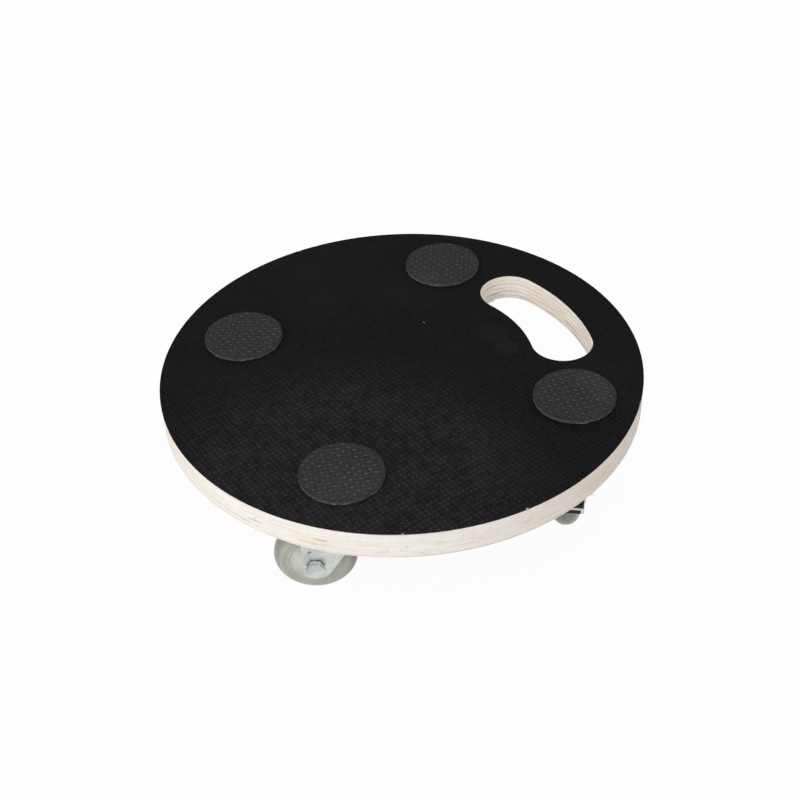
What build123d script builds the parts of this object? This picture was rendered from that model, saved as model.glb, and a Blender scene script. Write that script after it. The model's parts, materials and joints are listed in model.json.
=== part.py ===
from build123d import *
import os
from math import asin, cos, degrees, pi, radians, sin, sqrt, tan

# Round plywood dolly on four swivel castors, in millimetres.
# +Z is up and the floor is z = 0. The origin is on the floor under the middle of the deck.
# +X points from the middle of the deck to the grip slot, and +Y is to the left of it.

# Deck: a film-faced plywood disc
deck_diameter = 300.0
deck_thickness = 18.0
film_thickness = 0.5
deck_edge_break = 0.4

# Grip slot: a curved hand hole that follows the rim and ends just short of the castor plates
grip_bar_width = 26.8
grip_slot_width = 39.0
slot_plate_gap = 0.7

# Rubber grip discs, glued to the top film by hand, measured in from the rim and round from the grip
disc_diameter = 50.0
disc_thickness = 3.0
disc_edge_round = 0.2
front_left_disc_inset = 38.8
front_left_disc_angle = 47.4
front_right_disc_inset = 38.8
front_right_disc_angle = 47.7
rear_left_disc_inset = 44.1
rear_left_disc_angle = 134.9
rear_right_disc_inset = 43.2
rear_right_disc_angle = 136.0

# Castor places, and the way each castor trails from its swivel axis
castor_inset = 41.1
castor_angle = 45.0
front_left_trail_angle = 205.0
front_right_trail_angle = 234.5
rear_left_trail_angle = 215.0
rear_right_trail_angle = 154.0

# Castor plate and its wood screws
plate_size = 50.0
plate_thickness = 2.0
plate_corner_radius = 5.0
plate_hole_inset = 6.0
screw_hole_clearance = 0.5
screw_core_diameter = 3.2
screw_head_diameter = 8.0
screw_head_height = 2.2
screw_head_round = 1.5
drive_width = 4.4
drive_slot = 0.9
drive_depth = 1.3
drive_taper = 12.0
screw_tip_length = 4.0
screw_cover = 5.0
pilot_clearance = 0.03

# Swivel bearing: two rows of balls, above and below the fork's crown
ball_diameter = 3.2
ball_spacing = 1.8
ball_clearance = 0.1
race_depth = 0.6
cup_thickness = 1.5
cup_rim_width = 1.0
cup_rim_drop = 1.0
cup_margin = 0.4
cup_side_gap = 1.2
kingpin_diameter = 7.0
kingpin_head_diameter = 12.0
kingpin_head_height = 1.5
kingpin_clearance = 0.4
swivel_gap = 0.5

# Wheel: a full-round tyre on a moulded core
wheel_diameter = 50.0
tyre_width = 18.0
tyre_depth = 6.5
rim_width = 15.0
rim_thickness = 2.6
web_thickness = 11.0
web_fillet = 1.2
hub_diameter = 15.0
hub_side_gap = 0.5

# Axle: a bolt in a spacer sleeve that the wheel turns on
axle_diameter = 6.0
axle_clearance = 0.04
sleeve_wall = 1.0
running_clearance = 0.06
hex_width = 10.0
bolt_head_height = 4.0
washer_face_height = 0.8
washer_face_diameter = 8.8
nut_height = 5.0
nut_collar_height = 1.2
bolt_end = 1.5

# Fork: pressed sheet with a dished crown
castor_trail = 20.0
castor_headroom = 15.0
fork_sheet = 2.0
fork_bend_radius = 3.0
fork_end_radius = 10.4
fork_corner_radius = 3.0
fork_side_gap = 1.2
fork_front = 14.5
fork_rear = 14.0
crown_screw_gap = 2.4
crown_rim_thickness = 1.5
crown_race_gap = 3.0
ear_radius = 3.8
dimple_radius = 1.6
dimple_depth = 0.5
dimple_behind_axle = 2.8
dimple_above_axle = 11.2

# Brake: a trodden lever on a pin across the fork, stepping down to a level pedal behind it
brake_pin_diameter = 3.5
brake_pin_head_diameter = 6.0
brake_pin_head_height = 1.0
brake_pin_behind_axle = 3.7
brake_pin_above_wheel = 2.5
brake_travel = 12.0
lever_sheet = 1.5
lever_side_gap = 0.8
lever_depth = 4.5
lever_front = 4.0
lever_knee = 4.8
lever_rise = 3.9
lever_slope_angle = 38.0
lever_bend_radius = 6.0
lever_lug_radius = 3.4
pedal_drop = 15.2
pedal_length = 10.4
pedal_width = 21.8
pedal_fork_gap = 1.5
shoe_length = 9.0
shoe_pin_gap = 1.5
shoe_height = 8.0
shoe_side_gap = 0.3
shoe_tyre_gap = 0.5
cap_thickness = 1.8
cap_bend_gap = 0.4
cap_end_gap = 1.0
cap_side_gap = 0.5
cap_corner_radius = 1.5
cap_rib_count = 3
cap_rib_width = 1.2
cap_rib_height = 0.8
pad_length = 8.0
pad_depth = 3.6
pad_corner_radius = 1.0
pad_side_gap = 0.3
pad_tyre_gap = 1.0
peg_diameter = 3.0
peg_spacing = 10.0
peg_clearance = 0.04

# Heights and places that follow from the sizes above
deck_radius = deck_diameter / 2
wheel_radius = wheel_diameter / 2
ball_radius = ball_diameter / 2
kingpin_radius = kingpin_diameter / 2
ball_stand_off = ball_radius - race_depth
plate_top = wheel_diameter + castor_headroom
plate_bottom = plate_top - plate_thickness
upper_ball_height = plate_bottom - ball_stand_off
crown_top = upper_ball_height - ball_stand_off
crown_bottom = crown_top - fork_sheet
lower_ball_height = crown_bottom - ball_stand_off
cup_top = lower_ball_height - ball_stand_off
cup_bottom = cup_top - cup_thickness
board_bottom = plate_top + film_thickness
board_top = plate_top + deck_thickness - film_thickness
deck_top = plate_top + deck_thickness
screw_tip_height = board_top - screw_cover
castor_radius = deck_radius - castor_inset
slot_middle_radius = deck_radius - grip_bar_width - grip_slot_width / 2
slot_end_reach = castor_radius * sin(radians(castor_angle)) - plate_size / 2 - slot_plate_gap
slot_half_angle = degrees(asin((slot_end_reach - grip_slot_width / 2) / slot_middle_radius))
screw_reach = plate_size / 2 - plate_hole_inset
crown_radius = sqrt(2) * screw_reach - screw_head_diameter / 2 - crown_screw_gap
upper_race_diameter = 2 * (crown_radius - crown_rim_thickness - crown_race_gap - ball_radius)
fork_gap = tyre_width + 2 * fork_side_gap
fork_half_gap = fork_gap / 2
fork_half_width = fork_half_gap + fork_sheet
cup_radius = fork_half_gap - cup_side_gap
lower_race_diameter = 2 * (cup_radius - cup_rim_width - cup_margin - ball_radius)
axle_height = wheel_radius
tyre_seat_radius = wheel_radius - tyre_depth
sleeve_radius = axle_diameter / 2 + axle_clearance + sleeve_wall
hub_length = fork_gap - 2 * hub_side_gap
pin_x = castor_trail + brake_pin_behind_axle
pin_z = wheel_diameter + brake_pin_above_wheel
lever_half_width = fork_half_gap - lever_side_gap
pedal_half_width = pedal_width / 2
leg_rear = pin_x + ear_radius
pedal_front = leg_rear + pedal_fork_gap
lever_level = pin_z + lever_rise
knee_x = pin_x + lever_knee
lever_slope = radians(lever_slope_angle)
pedal_bend_x = knee_x + pedal_drop / tan(lever_slope)
pedal_level = lever_level - pedal_drop
pedal_tip = pedal_bend_x + pedal_length
pedal_top = pedal_level + lever_sheet / 2
pedal_underside = pedal_level - lever_sheet / 2
bend_run = lever_bend_radius * tan(lever_slope / 2)
cap_length = pedal_length - bend_run - cap_bend_gap - cap_end_gap


def along_y(face, half_width):
    """Extrude a side-view face (x across, z up) to both sides of the castor's middle plane."""
    return extrude(Plane.XZ * face, amount=half_width, both=True)


def rod(radius, x, z, y_from, y_to):
    """A round bar across the castor, from one y to another."""
    bar = Cylinder(radius, y_to - y_from, rotation=(90, 0, 0))
    return Pos(x, (y_from + y_to) / 2, z) * bar


def turned(face):
    """Revolve a section drawn as (radius, z) about the upright axis."""
    return revolve(Plane.XZ * face, Axis.Z)


def band(inner, outer, low, high):
    """A rectangle of a turned section, from one radius and height to another."""
    return Pos((inner + outer) / 2, (low + high) / 2) * Rectangle(outer - inner, high - low)


def between(face, x_from, x_to):
    """The stretch of a side-view face from one x to another."""
    reach = deck_diameter
    face -= Pos(x_from - reach / 2, 0) * Rectangle(reach, 2 * reach)
    return face - Pos(x_to + reach / 2, 0) * Rectangle(reach, 2 * reach)


def polar(radius, angle):
    """The point at a radius and an angle in degrees."""
    return radius * cos(radians(angle)), radius * sin(radians(angle))


def ball_ring(race_diameter, height):
    """The centres of one row of balls, as many as the race holds with a little space between."""
    count = int(pi * race_diameter / (ball_diameter + ball_spacing))
    return [(*polar(race_diameter / 2, 360 * i / count), height) for i in range(count)]


def race_groove(race_diameter, height):
    """The groove that a row of balls runs in."""
    return Pos(0, 0, height) * Torus(race_diameter / 2, ball_radius + ball_clearance)


def screw_places():
    """The four screw places of a plate, about its middle."""
    return [(x, y) for x in (-screw_reach, screw_reach) for y in (-screw_reach, screw_reach)]


def castor_places():
    """Each castor's name, middle, trail angle and whether it has a brake."""
    rows = [
        ("front_left", castor_angle, front_left_trail_angle, True),
        ("front_right", -castor_angle, front_right_trail_angle, True),
        ("rear_left", 180 - castor_angle, rear_left_trail_angle, False),
        ("rear_right", castor_angle - 180, rear_right_trail_angle, False),
    ]
    return [(name, polar(castor_radius, angle), trail, braked) for name, angle, trail, braked in rows]


def grip_slot(low, high):
    """The curved slot as a solid cutter between two heights."""
    middle = CenterArc((0, 0), slot_middle_radius, -slot_half_angle, 2 * slot_half_angle)
    return Pos(0, 0, low) * extrude(SlotArc(middle, grip_slot_width), amount=high - low)


def pilot_holes():
    """The holes that the plate screws bite into, under the whole deck."""
    radius = screw_core_diameter / 2 + pilot_clearance
    length = screw_tip_height - plate_top
    hole = Pos(0, 0, plate_top + length / 2) * Cylinder(radius, length)
    places = [(cx + x, cy + y) for _, (cx, cy), _, _ in castor_places() for x, y in screw_places()]
    return [Pos(x, y) * hole for x, y in places]


def deck_layer(low, high):
    """A round layer of the deck with the grip slot through it."""
    disc = Pos(0, 0, (low + high) / 2) * Cylinder(deck_radius, high - low)
    return disc - grip_slot(low - 1, high + 1)


def deck_board():
    """The plywood core, with its outer and slot edges just broken."""
    board = deck_layer(board_bottom, board_top)
    rims = board.edges().filter_by(Plane.XY)
    board = chamfer(rims, deck_edge_break)
    return board - pilot_holes()


def bottom_film():
    """The clear lower film over the last veneer, which the plate screws pass through."""
    return deck_layer(plate_top, board_bottom) - pilot_holes()


def grip_disc():
    """A rubber disc with a rounded upper edge, standing on the origin."""
    disc = Pos(0, 0, disc_thickness / 2) * Cylinder(disc_diameter / 2, disc_thickness)
    return fillet(disc.edges().group_by(Axis.Z)[-1], disc_edge_round)


def kingpin():
    """The rivet: a flush countersunk head, a shank and a flat closing head under the cup."""
    head_radius = kingpin_head_diameter / 2
    rivet_bottom = cup_bottom - kingpin_head_height
    shank = band(0, kingpin_radius, rivet_bottom, plate_top)
    flush_head = make_face(Polyline(
        (0, plate_top), (head_radius, plate_top), (kingpin_radius, plate_top - kingpin_head_height),
        (0, plate_top - kingpin_head_height), close=True))
    closing_head = band(0, head_radius, rivet_bottom, cup_bottom)
    low_edge = closing_head.vertices().sort_by(Axis.Y)[:2].sort_by(Axis.X)[-1]
    closing_head = fillet(low_edge, kingpin_head_height / 2)
    return turned(shank + flush_head + closing_head)


def mounting_plate():
    """The square plate with its screw holes, upper race and the kingpin's countersunk hole."""
    plate = Pos(0, 0, plate_bottom) * extrude(
        RectangleRounded(plate_size, plate_size, plate_corner_radius), amount=plate_thickness)
    hole_radius = screw_core_diameter / 2 + screw_hole_clearance
    hole = Pos(0, 0, plate_bottom) * Cylinder(hole_radius, 3 * plate_thickness)
    plate -= [Pos(x, y) * hole for x, y in screw_places()]
    return plate - race_groove(upper_race_diameter, upper_ball_height) - kingpin()


def plate_screws():
    """Four pan-head screws with cross recesses, driven up through the plate."""
    core = screw_core_diameter / 2
    head = screw_head_diameter / 2
    low = plate_bottom - screw_head_height
    pan = band(0, head, low, plate_bottom)
    pan = fillet(pan.vertices().group_by(Axis.Y)[0].sort_by(Axis.X)[-1], screw_head_round)
    shank = band(0, core, plate_bottom, screw_tip_height - screw_tip_length)
    tip = make_face(Polyline(
        (0, screw_tip_height - screw_tip_length), (core, screw_tip_height - screw_tip_length),
        (0, screw_tip_height), close=True))
    cross = Rectangle(drive_width, drive_slot) + Rectangle(drive_slot, drive_width)
    recess = Pos(0, 0, low) * extrude(cross, amount=drive_depth, taper=drive_taper)
    screw = turned(pan + shank + tip) - recess
    return Compound([Pos(x, y) * screw for x, y in screw_places()])


def swivel_balls():
    """Both rows of balls."""
    upper = ball_ring(upper_race_diameter, upper_ball_height)
    lower = ball_ring(lower_race_diameter, lower_ball_height)
    return Compound([Pos(*place) * Sphere(ball_radius) for place in upper + lower])


def race_cup():
    """The dished cup that carries the lower balls, closed on the kingpin."""
    floor = band(0, cup_radius, cup_bottom, cup_top)
    rim = band(cup_radius - cup_rim_width, cup_radius, cup_top, crown_bottom - cup_rim_drop)
    return turned(floor + rim) - race_groove(lower_race_diameter, lower_ball_height) - kingpin()


def fork(braked):
    """The fork: a sheet bent into an inverted U, cut to its side outline, under a dished crown."""
    half = fork_half_gap + fork_sheet / 2
    crown_middle = crown_top - fork_sheet / 2
    low = axle_height - fork_end_radius - fork_sheet
    bent = FilletPolyline((-half, low), (-half, crown_middle), (half, crown_middle), (half, low),
                          radius=fork_bend_radius)
    reach = castor_trail + wheel_diameter
    channel = extrude(Plane.YZ * trace(bent, fork_sheet), amount=reach, both=True)
    axle_end = Pos(castor_trail, axle_height) * Circle(fork_end_radius)
    ear = Pos(pin_x, pin_z) * Circle(ear_radius)
    top = Line((-fork_front, crown_top), (fork_rear, crown_top))
    outline = between(make_hull([*axle_end.edges(), *ear.edges(), top]), -reach, leg_rear)
    low_corner = [v for v in outline.vertices() if abs(v.X - leg_rear) < 1e-6 and v.Y < axle_height]
    outline = fillet(low_corner, fork_corner_radius)
    legs = channel & along_y(outline, fork_half_width)
    crown_section = band(0, crown_radius, crown_bottom, crown_top)
    crown_rim_top = plate_bottom - swivel_gap
    crown_section += band(crown_radius - crown_rim_thickness, crown_radius, crown_top, crown_rim_top)
    opening = Pos(crown_radius + reach / 2, 0, crown_top) * Box(reach, fork_gap, 2 * castor_headroom)
    body = (legs - opening) + turned(crown_section)
    body -= race_groove(upper_race_diameter, upper_ball_height)
    body -= race_groove(lower_race_diameter, lower_ball_height)
    body -= Pos(0, 0, crown_bottom) * Cylinder(kingpin_radius + kingpin_clearance, 4 * fork_sheet)
    body -= rod(axle_diameter / 2 + axle_clearance, castor_trail, axle_height, -2 * fork_gap, 2 * fork_gap)
    dimple_y = fork_half_width - dimple_depth + dimple_radius
    for y in (-dimple_y, dimple_y):
        dimple = Sphere(dimple_radius)
        body -= Pos(castor_trail + dimple_behind_axle, y, axle_height + dimple_above_axle) * dimple
    if braked:
        body -= rod(brake_pin_diameter / 2, pin_x, pin_z, -2 * fork_gap, 2 * fork_gap)
    return body


def tyre():
    """The tyre: a full-round tread, cut off flat where it sits on the rim."""
    tread_radius = tyre_width / 2
    section = Pos(wheel_radius - tread_radius, 0) * Circle(tread_radius)
    section -= Pos(tyre_seat_radius - tyre_width, 0) * Rectangle(2 * tyre_width, 2 * tyre_width)
    return Pos(castor_trail, 0, axle_height) * revolve(section, Axis.Y)


def wheel_core():
    """The core: a rim under the tyre, a thin web and a long hub bored for the sleeve."""
    bore = sleeve_radius + running_clearance
    rim_inner = tyre_seat_radius - rim_thickness
    hub = hub_diameter / 2
    section = band(bore, hub, -hub_length / 2, hub_length / 2)
    section += band(hub, rim_inner, -web_thickness / 2, web_thickness / 2)
    section += band(rim_inner, tyre_seat_radius, -rim_width / 2, rim_width / 2)
    corners = [v for v in section.vertices() if abs(abs(v.Y) - web_thickness / 2) < 1e-6]
    section = fillet(corners, web_fillet)
    return Pos(castor_trail, 0, axle_height) * revolve(section, Axis.Y)


def axle_sleeve():
    """The spacer between the fork's legs that the core turns on."""
    tube = rod(sleeve_radius, castor_trail, axle_height, -fork_half_gap, fork_half_gap)
    return tube - rod(axle_diameter / 2 + axle_clearance, castor_trail, axle_height, -fork_gap, fork_gap)


def hexagon(y_from, y_to):
    """A hexagon across the axle, from one y to another, with its outer corners turned off."""
    corner = hex_width / sqrt(3)
    prism = extrude(Plane.XZ * RegularPolygon(corner, 6), amount=y_from - y_to)
    crown = Cylinder((hex_width + corner) / 2, abs(y_to - y_from), rotation=(90, 0, 0))
    crown = Pos(0, (y_to - y_from) / 2, 0) * crown
    return Pos(castor_trail, y_from, axle_height) * (prism & crown)


def axle_bolt():
    """The hex bolt, its head on the castor's +Y side, standing off on its round washer face."""
    head_from = fork_half_width + washer_face_height
    head = hexagon(head_from, fork_half_width + bolt_head_height)
    head += rod(washer_face_diameter / 2, castor_trail, axle_height, fork_half_width, head_from)
    end = -(fork_half_width + nut_height + nut_collar_height + bolt_end)
    return head + rod(axle_diameter / 2, castor_trail, axle_height, end, fork_half_width)


def axle_nut():
    """The lock nut: a hexagon with a round collar over its insert."""
    inner = -fork_half_width
    outer = inner - nut_height
    collar = rod(hex_width / 2, castor_trail, axle_height, outer - nut_collar_height, outer)
    nut = hexagon(inner, outer) + collar
    return nut - rod(axle_diameter / 2 + axle_clearance, castor_trail, axle_height, 3 * inner, 0)


def lever_path(inset):
    """The lever's side line, a level run, a slope and a level pedal, moved inwards by an inset."""
    shift = inset * tan(lever_slope / 2)
    start = (pin_x - lever_front, lever_level - inset)
    knee = (knee_x - shift, lever_level - inset)
    bend = (pedal_bend_x - shift, pedal_level - inset)
    tip = (pedal_tip, pedal_level - inset)
    radii = [lever_bend_radius - inset, lever_bend_radius + inset]
    return FilletPolyline(start, knee, bend, tip, radius=radii)


def pegs(radius, high, low):
    """Two upright pegs through the pedal, over the middle of the pad."""
    peg = Pos(pedal_tip - pad_length / 2, 0, (high + low) / 2) * Cylinder(radius, high - low)
    return [Pos(0, y, 0) * peg for y in (-peg_spacing / 2, peg_spacing / 2)]


def braked_wheel(gap):
    """The wheel's outline as the lever sees it with the pedal down, with a gap all round."""
    turn = radians(brake_travel)
    dx = castor_trail - pin_x
    dz = axle_height - pin_z
    x = pin_x + dx * cos(turn) - dz * sin(turn)
    z = pin_z + dx * sin(turn) + dz * cos(turn)
    return Pos(x, z) * Circle(wheel_radius + gap)


def brake_pin():
    """The rivet across the fork's ears."""
    head = brake_pin_head_diameter / 2
    outer = fork_half_width + brake_pin_head_height
    pin = rod(brake_pin_diameter / 2, pin_x, pin_z, -outer, outer)
    pin += rod(head, pin_x, pin_z, fork_half_width, outer)
    return pin + rod(head, pin_x, pin_z, -outer, -fork_half_width)


def cheeks(side, outer, inner):
    """The two walls of a channel, from its side view and its half widths outside and inside."""
    return along_y(side, outer) - along_y(side, inner)


def brake_lever():
    """The lever: an inverted channel of sheet that hangs on the pin and steps out to the pedal's width."""
    roof = trace(lever_path(0), lever_sheet)
    side = trace(lever_path((lever_depth - lever_sheet) / 2), lever_depth)
    body = along_y(roof, lever_half_width)
    body += along_y(between(roof, pedal_front, pedal_tip), pedal_half_width)
    lugs = between(side, 0, pedal_front) + Pos(pin_x, pin_z) * Circle(lever_lug_radius)
    joggle = between(side, pedal_front, pedal_front + lever_sheet)
    inside = lever_half_width - lever_sheet
    body += cheeks(lugs, lever_half_width, inside)
    body += cheeks(joggle, pedal_half_width, inside)
    body += cheeks(between(side, pedal_front, pedal_tip), pedal_half_width, pedal_half_width - lever_sheet)
    body -= rod(brake_pin_diameter / 2 + running_clearance, pin_x, pin_z, -fork_gap, fork_gap)
    hole_radius = peg_diameter / 2 + peg_clearance
    return body - pegs(hole_radius, pedal_top + lever_sheet, pedal_underside - lever_sheet)


def brake_shoe():
    """The rubber block under the lever, hollowed to the tyre as it meets it with the pedal down."""
    under_roof = trace(lever_path((lever_sheet + shoe_height) / 2), shoe_height)
    front = pin_x + brake_pin_diameter / 2 + shoe_pin_gap
    block = between(under_roof, front, front + shoe_length) - braked_wheel(shoe_tyre_gap)
    return along_y(block, lever_half_width - lever_sheet - shoe_side_gap)


def pedal_cap():
    """The black tread on the pedal, with cross ribs, pegged through the sheet to a pad under the tip."""
    half = pedal_half_width - cap_side_gap
    tread = extrude(RectangleRounded(cap_length, 2 * half, cap_corner_radius), amount=cap_thickness)
    rib = Pos(0, 0, cap_thickness) * Box(cap_rib_width, 2 * (half - cap_corner_radius), 2 * cap_rib_height)
    pitch = cap_length / (cap_rib_count + 1)
    for i in range(cap_rib_count):
        tread += Pos((i + 1) * pitch - cap_length / 2, 0, 0) * rib
    cap = Pos(pedal_tip - cap_end_gap - cap_length / 2, 0, pedal_top) * tread
    block = band(pedal_tip - pad_length, pedal_tip, pedal_underside - pad_depth, pedal_underside)
    low_edges = block.vertices().group_by(Axis.Y)[0]
    block = fillet(low_edges, pad_corner_radius) - braked_wheel(pad_tyre_gap)
    pad = along_y(block, pedal_half_width - lever_sheet - pad_side_gap)
    return cap + pegs(peg_diameter / 2, pedal_top + cap_thickness / 2, pedal_underside - pad_depth / 2) + pad


def write(shape, name):
    """Write one piece to its own file."""
    export_step(shape, f"parts/{name}.step")


def main():
    os.makedirs("parts", exist_ok=True)
    write(deck_board(), "deck_board")
    write(deck_layer(board_top, deck_top), "top_film")
    write(bottom_film(), "bottom_film")

    disc_places = {
        "front_left": polar(deck_radius - front_left_disc_inset, front_left_disc_angle),
        "front_right": polar(deck_radius - front_right_disc_inset, -front_right_disc_angle),
        "rear_left": polar(deck_radius - rear_left_disc_inset, rear_left_disc_angle),
        "rear_right": polar(deck_radius - rear_right_disc_inset, -rear_right_disc_angle),
    }
    disc = grip_disc()
    for name, (x, y) in disc_places.items():
        write(Pos(x, y, deck_top) * disc, f"{name}_grip_disc")

    fixed = {
        "mounting_plate": mounting_plate(),
        "plate_screws": plate_screws(),
        "swivel_balls": swivel_balls(),
        "race_cup": race_cup(),
        "kingpin": kingpin(),
    }
    swivelling = {
        "tyre": tyre(),
        "wheel_core": wheel_core(),
        "axle_sleeve": axle_sleeve(),
        "axle_bolt": axle_bolt(),
        "axle_nut": axle_nut(),
    }
    brake = {
        "brake_lever": brake_lever(),
        "brake_shoe": brake_shoe(),
        "pedal_cap": pedal_cap(),
        "brake_pin": brake_pin(),
    }
    forks = {True: fork(True), False: fork(False)}
    for name, (x, y), trail_angle, braked in castor_places():
        for piece, shape in fixed.items():
            write(Pos(x, y) * shape, f"{name}_{piece}")
        turning = swivelling | {"fork": forks[braked]} | (brake if braked else {})
        for piece, shape in turning.items():
            write(Pos(x, y) * Rot(0, 0, trail_angle) * shape, f"{name}_{piece}")


main()
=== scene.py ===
# %% [markdown]
# # A round plywood dolly, dressed for its portrait
# The CAD model gives the solids and the joints. This lesson adds what a camera sees: the embossed film,
# the woven face of the rubber discs, the layers of the sawn plywood, zinc plating and the smoky moulded
# wheels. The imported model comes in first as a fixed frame, in metres, with +Z up and the floor at zero.
# Every new piece is worked out in that same frame, so nothing has to be fitted by eye.

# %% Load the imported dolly
import json
from math import acos, cos, pi, radians, sin

import bpy
import numpy as np
from mathutils import Matrix, Vector


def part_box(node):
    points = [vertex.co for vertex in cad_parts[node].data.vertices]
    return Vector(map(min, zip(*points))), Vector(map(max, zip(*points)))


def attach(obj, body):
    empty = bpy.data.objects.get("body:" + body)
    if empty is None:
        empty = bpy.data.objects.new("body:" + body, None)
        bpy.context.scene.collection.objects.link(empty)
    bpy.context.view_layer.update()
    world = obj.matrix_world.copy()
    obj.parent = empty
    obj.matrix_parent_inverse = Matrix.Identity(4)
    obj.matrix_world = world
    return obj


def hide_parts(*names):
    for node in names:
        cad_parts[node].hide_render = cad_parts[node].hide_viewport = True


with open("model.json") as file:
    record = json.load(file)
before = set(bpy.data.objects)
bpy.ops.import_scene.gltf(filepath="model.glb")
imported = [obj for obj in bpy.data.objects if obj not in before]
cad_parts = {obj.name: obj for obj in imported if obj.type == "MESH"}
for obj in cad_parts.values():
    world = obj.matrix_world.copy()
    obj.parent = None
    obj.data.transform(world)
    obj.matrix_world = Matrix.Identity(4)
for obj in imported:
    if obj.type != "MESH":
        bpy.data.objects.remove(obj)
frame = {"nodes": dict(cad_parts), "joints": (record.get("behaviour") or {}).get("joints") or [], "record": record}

scene = bpy.context.scene
nodes = frame["nodes"]
castors = ("front_left", "front_right", "rear_left", "rear_right")
joints = {joint["name"]: joint for joint in frame["joints"]}
axles = {name: joints[f"{name}_wheel_roll"] for name in castors}
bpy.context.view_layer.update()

# %% [markdown]
# ## Camera
# The rim of the deck is a known circle, so its ellipse in the picture gives the camera: where it stood,
# how far it was tilted down and a small roll. A track-to constraint could aim it, but that loses the
# roll. Plain rotations multiplied together keep every angle readable, and two of them aim the lamps.

# %% Camera
camera_place = (-0.2970, -0.6036, 0.6057)
camera_turn = radians(-26.07)
camera_tilt = radians(39.37)
camera_roll = radians(2.62)


def placed(name, data):
    """A new object in the scene."""
    made = bpy.data.objects.new(name, data)
    scene.collection.objects.link(made)
    return made


def aimed(turn, tilt):
    """A view along +Y, tilted down towards the floor and then turned about Z."""
    return Matrix.Rotation(turn, 4, "Z") @ Matrix.Rotation(pi / 2 - tilt, 4, "X")


camera = placed("camera", bpy.data.cameras.new("camera"))
camera.data.sensor_width = 36.0
camera.data.lens = 61.34
camera.data.clip_start = 0.01
rolled = aimed(camera_turn, camera_tilt) @ Matrix.Rotation(-camera_roll, 4, "Z")
camera.matrix_world = Matrix.Translation(camera_place) @ rolled
scene.camera = camera
scene.view_settings.view_transform = "Standard"
print("camera", round(Vector(camera_place).length, 3), "m from the floor under the deck's middle")

# %% [markdown]
# ## Node helpers
# Materials are graphs, and a graph written one line per link is hard to read. A few small helpers let
# each material read like a recipe: make a node, do a sum, mix two colours or lay several over one
# another, spread a value over a ramp, and draw noise, stretched where a grain is wanted. Noise scales
# count waves per metre, so 1000 is a grain of about a millimetre.

# %% Node helpers


def wire(tree, kind, fill=None, **options):
    """Add a node, set its options, and fill its inputs with plain values or with links."""
    made = tree.nodes.new(kind)
    for name, value in options.items():
        setattr(made, name, value)
    for key, value in (fill or {}).items():
        if isinstance(value, bpy.types.NodeSocket):
            tree.links.new(value, made.inputs[key])
        else:
            made.inputs[key].default_value = value
    return made


def sums(tree, operation, *values):
    """One Math node's result."""
    return wire(tree, "ShaderNodeMath", dict(enumerate(values)), operation=operation).outputs[0]


def product(tree, first, *others):
    """Values multiplied one after another."""
    for other in others:
        first = sums(tree, "MULTIPLY", first, other)
    return first


def level_reach(tree, x, y):
    """The level distance that x and y make: the root of the sum of their squares."""
    return sums(tree, "SQRT", sums(tree, "MULTIPLY_ADD", x, x, product(tree, y, y)))


def vectors(tree, operation, first, second):
    """One Vector Math node's outputs, by the names Vector and Value."""
    return wire(tree, "ShaderNodeVectorMath", {0: first, 1: second}, operation=operation).outputs


def spun(tree, vector, angle):
    """A vector turned about Z."""
    fill = {"Vector": vector, "Angle": angle}
    return wire(tree, "ShaderNodeVectorRotate", fill, rotation_type="Z_AXIS").outputs[0]


def parts_of(tree, vector):
    """The X, Y and Z outputs of a vector."""
    return wire(tree, "ShaderNodeSeparateXYZ", {0: vector}).outputs


def blend(tree, share, low, high):
    """A colour from low to high as share goes from 0 to 1. Plain colours are red, green and blue."""
    low, high = (tone if isinstance(tone, bpy.types.NodeSocket) else (*tone, 1) for tone in (low, high))
    return wire(tree, "ShaderNodeMix", {0: share, 6: low, 7: high}, data_type="RGBA").outputs[2]


def layered(tree, colour, *layers):
    """A colour with others laid over it in turn, each as its masks, which are multiplied, and a tone."""
    for *masks, layer in layers:
        colour = blend(tree, product(tree, *masks), colour, layer)
    return colour


def spread(tree, value, low, high, to_low=0.0, to_high=1.0):
    """Map a value from one range to another along an S curve, held at both ends."""
    fill = {"Value": value, "From Min": low, "From Max": high, "To Min": to_low, "To Max": to_high}
    return wire(tree, "ShaderNodeMapRange", fill, interpolation_type="SMOOTHSTEP").outputs[0]


def noise(tree, vector, scale, detail=2.0, stretch=None):
    """Noise at a scale, drawn out along the axes whose stretch is below the others'."""
    if stretch:
        vector = vectors(tree, "MULTIPLY", vector, stretch)["Vector"]
    fill = {"Vector": vector, "Scale": scale, "Detail": detail}
    return wire(tree, "ShaderNodeTexNoise", fill).outputs[0]


def relief(tree, height, strength, depth):
    """A bumped normal from a height."""
    fill = {"Strength": strength, "Distance": depth, "Height": height}
    return wire(tree, "ShaderNodeBump", fill).outputs[0]


def new_finish(name):
    """A new material with its tree, and the piece's own place and direction."""
    made = bpy.data.materials.new(name)
    made.use_nodes = True
    tree = made.node_tree
    own = tree.nodes.new("ShaderNodeTexCoord").outputs
    return made, tree, own["Object"], own["Normal"]


def set_shader(tree, colour, roughness, normal, **values):
    """Link the shader's three inputs that vary over the surface, and set plain values on others."""
    inputs = tree.nodes["Principled BSDF"].inputs
    for name, socket in (("Base Color", colour), ("Roughness", roughness), ("Normal", normal)):
        tree.links.new(socket, inputs[name])
    for name, value in values.items():
        inputs[name.replace("_", " ")].default_value = value


print("helpers ready")

# %% [markdown]
# ## Shared effects
# Four things happen on several surfaces here: the colour is a little uneven, handling leaves fine
# scratches, dust settles on what faces up, and a single mark, such as a streak in the wood or a smudge on
# the film, sits at one place. Each could be drawn again in every material. A node group is made once and
# placed with its own numbers, so all the finishes age in the same way. The groups give out masks and a
# height only, and each material decides what they do.

# %% Shared effects


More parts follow.
